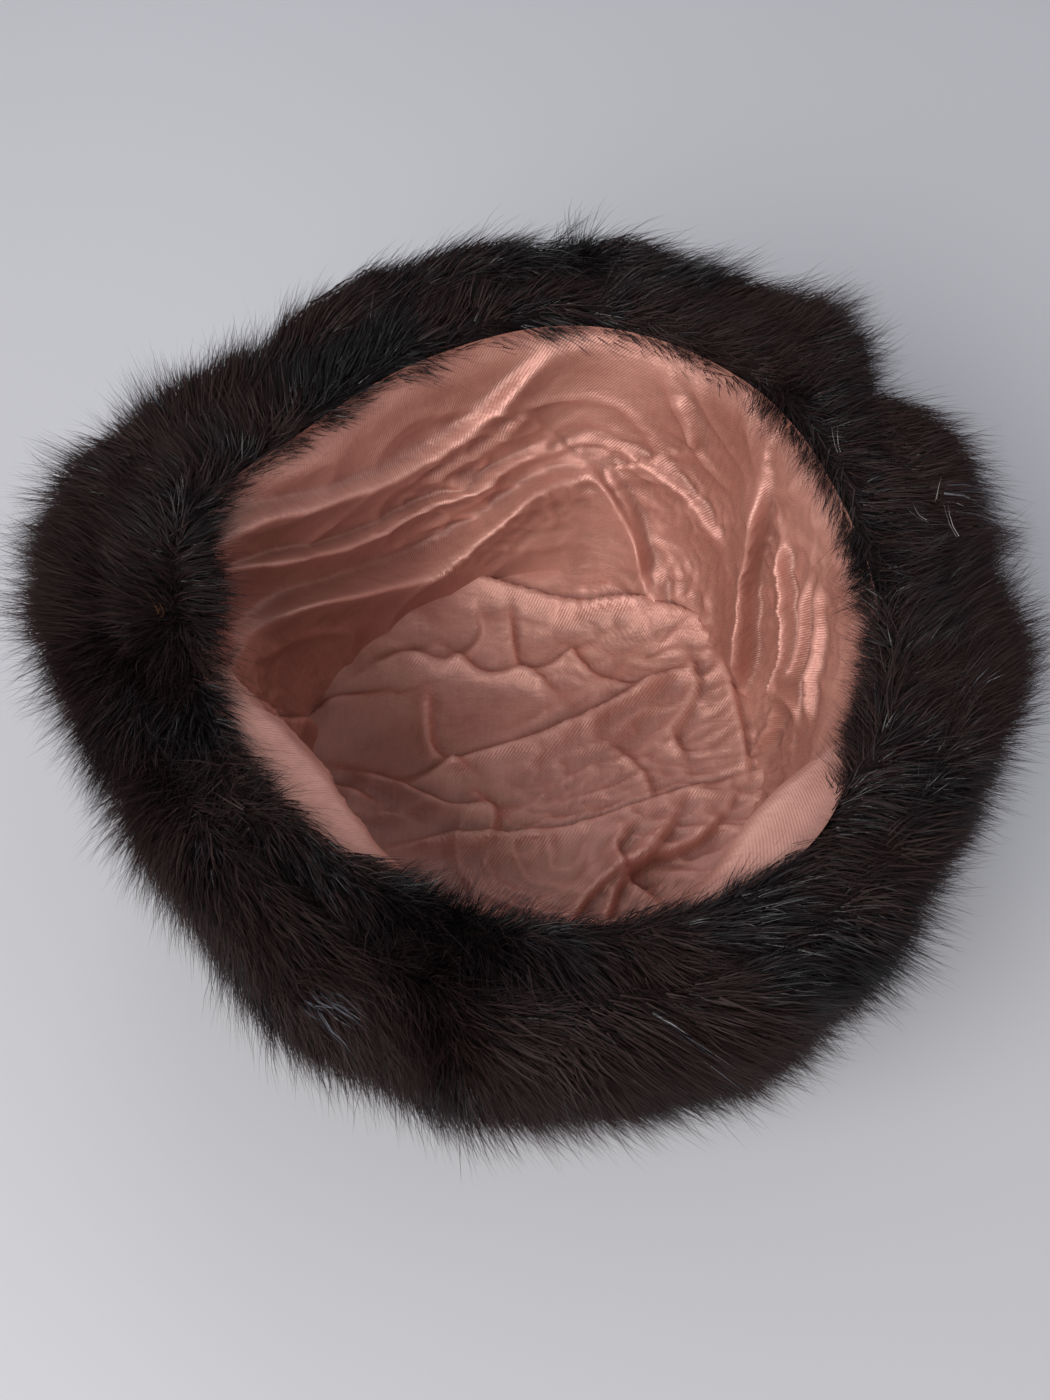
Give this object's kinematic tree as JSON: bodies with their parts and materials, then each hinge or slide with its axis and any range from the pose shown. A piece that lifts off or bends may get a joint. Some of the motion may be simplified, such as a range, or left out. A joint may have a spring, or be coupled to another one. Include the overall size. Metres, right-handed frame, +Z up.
{
  "type": "trapper hat",
  "caption": "Fur trapper hat resting on its crown with the opening up, its visor, ear flaps and neck flap folded up against the crown; satin lining inside.",
  "frame": {"origin": "on the ground below the middle of the hat's outline", "axes": "+Z up, out of the head opening (the hat lies on its crown); +X towards the front of the hat, where the visor is; -Y towards the wearer's left ear"},
  "size_m": [0.2636, 0.2722, 0.116],
  "materials": {
    "fur": "long dark brown-black fur on a soft skin",
    "satin": "rose-copper satin, fine diagonal twill",
    "wadding": "soft fibre wadding",
    "buckram": "stiffened open weave",
    "stay_tape": "flat cotton tape",
    "suede": "brushed",
    "press_stud": "dark lacquered"
  },
  "bodies": {
    "crown": {"crown_pelt_front": "fur", "crown_pelt_right": "fur", "crown_pelt_back": "fur", "crown_pelt_left": "fur", "crown_pelt_tip": "fur", "rim_roll_front_right": "fur", "rim_roll_back_right": "fur", "rim_roll_back_left": "fur", "rim_roll_front_left": "fur", "rim_stay_tape": "stay_tape", "buckram_side": "buckram", "buckram_tip": "buckram", "wadding_side": "wadding", "wadding_tip": "wadding", "lining_back_panel": "satin", "lining_front_panel": "satin", "lining_tip": "satin", "visor_snap_stud": "press_stud", "right_ear_flap_snap_stud": "press_stud", "neck_flap_snap_stud": "press_stud", "left_ear_flap_snap_stud": "press_stud"},
    "visor": {"visor_pelt": "fur", "visor_padding": "wadding", "visor_backing": "suede", "visor_snap_socket": "press_stud"},
    "right_ear_flap": {"right_ear_flap_pelt": "fur", "right_ear_flap_padding": "wadding", "right_ear_flap_backing": "suede", "right_ear_flap_snap_socket": "press_stud"},
    "neck_flap": {"neck_flap_pelt": "fur", "neck_flap_padding": "wadding", "neck_flap_backing": "suede", "neck_flap_snap_socket": "press_stud"},
    "left_ear_flap": {"left_ear_flap_pelt": "fur", "left_ear_flap_padding": "wadding", "left_ear_flap_backing": "suede", "left_ear_flap_snap_socket": "press_stud"}
  },
  "joints": [
    {"name": "visor_fold", "type": "hinge", "parent": "crown", "child": "visor", "pos_m": [0.10085, -0.00779, 0.116], "axis": [-0.0785, -0.9969, 0], "range_deg": [0, 175]},
    {"name": "right_ear_flap_fold", "type": "hinge", "parent": "crown", "child": "right_ear_flap", "pos_m": [0.01082, 0.10558, 0.116], "axis": [0.9969, -0.0785, 0], "range_deg": [0, 175]},
    {"name": "neck_flap_fold", "type": "hinge", "parent": "crown", "child": "neck_flap", "pos_m": [-0.10119, 0.01638, 0.116], "axis": [0.1564, 0.9877, 0], "range_deg": [0, 175]},
    {"name": "left_ear_flap_fold", "type": "hinge", "parent": "crown", "child": "left_ear_flap", "pos_m": [-0.01364, -0.10199, 0.116], "axis": [-0.9877, 0.1564, 0], "range_deg": [0, 175]}
  ]
}
